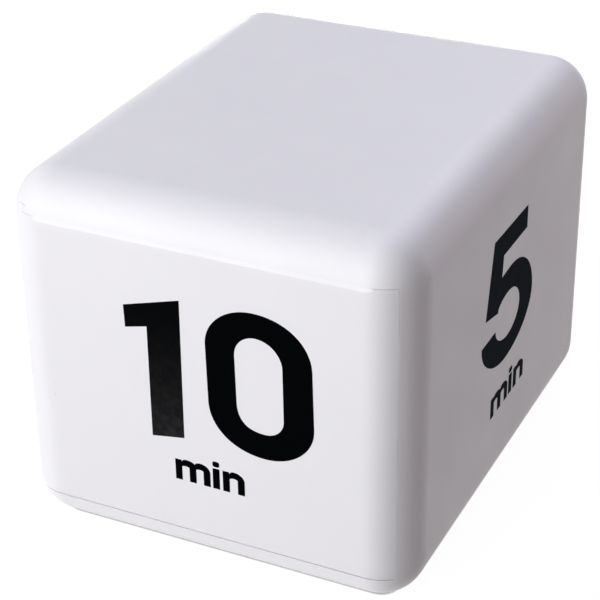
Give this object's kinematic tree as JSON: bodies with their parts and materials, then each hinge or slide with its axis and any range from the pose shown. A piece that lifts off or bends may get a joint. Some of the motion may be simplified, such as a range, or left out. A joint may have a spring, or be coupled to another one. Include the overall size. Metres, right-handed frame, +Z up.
{
  "type": "preset countdown timer",
  "caption": "White rounded block kitchen timer that starts a preset countdown by the side turned up, with a sliding front cover, underside display panel and battery bay.",
  "frame": {"origin": "middle of the underside", "axes": "+X to the right across the front cover, +Y from the front cover to the back, +Z up to the bare top"},
  "size_m": [0.06, 0.0744, 0.055],
  "materials": {
    "white_abs": "moulded ABS, satin gloss",
    "tray_abs": "moulded ABS, fine matte",
    "clear_lens": "clear polished acrylic",
    "lcd_cell": "polarised liquid crystal cell",
    "black_plastic": "moulded nylon",
    "strip_rubber": "layered silicone",
    "board_laminate": "solder mask on glass laminate",
    "black_epoxy": "cured epoxy",
    "bright_steel": "nickel plated",
    "screw_steel": "zinc plated",
    "chip_tan": "fired ceramic",
    "chip_black": "glazed film on ceramic",
    "button_grey": "moulded acetal",
    "disc_brass": "rolled sheet",
    "piezo_white": "silvered ceramic",
    "cell_wrap": "plain foil sleeve",
    "red_wire": "wire insulation",
    "black_wire": "wire insulation"
  },
  "bodies": {
    "case": {"case_shell": "white_abs", "base_panel": "white_abs", "panel_screws": "screw_steel", "display_lens": "clear_lens", "lcd_glass": "lcd_cell", "lcd_holder": "black_plastic", "contact_strips": "strip_rubber", "circuit_board": "board_laminate", "board_screws": "screw_steel", "controller_blob": "black_epoxy", "quartz_crystal": "bright_steel", "filter_capacitor": "black_plastic", "chip_capacitors": "chip_tan", "chip_resistors": "chip_black", "power_switch_body": "bright_steel", "piezo_disc": "disc_brass", "piezo_ceramic": "piezo_white", "piezo_leads": "red_wire", "tilt_cans": "bright_steel", "tilt_bases": "black_plastic", "battery_tray": "tray_abs", "tray_screws": "screw_steel", "battery_upper": "cell_wrap", "battery_lower": "cell_wrap", "contact_bridge": "bright_steel", "contact_positive": "bright_steel", "contact_negative": "bright_steel", "spring_upper": "bright_steel", "spring_lower": "bright_steel", "battery_lead_red": "red_wire", "battery_lead_black": "black_wire"},
    "cover": {"front_cover": "white_abs"},
    "switch": {"switch_button": "button_grey", "power_switch_lever": "black_plastic"},
    "ball_left": {"tilt_ball_left": "bright_steel"},
    "ball_right": {"tilt_ball_right": "bright_steel"}
  },
  "joints": [
    {"name": "cover_slide", "type": "slide", "parent": "case", "child": "cover", "axis": [-1, 0, 0], "range_m": [0, 0.062]},
    {"name": "switch_slide", "type": "slide", "parent": "case", "child": "switch", "axis": [1, 0, 0], "range_m": [0, 0.003]},
    {"name": "ball_left_roll", "type": "slide", "parent": "case", "child": "ball_left", "axis": [0.7071, 0.7071, 0], "range_m": [0, 0.00305]},
    {"name": "ball_right_roll", "type": "slide", "parent": "case", "child": "ball_right", "axis": [0.7071, -0.7071, 0], "range_m": [0, 0.00305]}
  ]
}
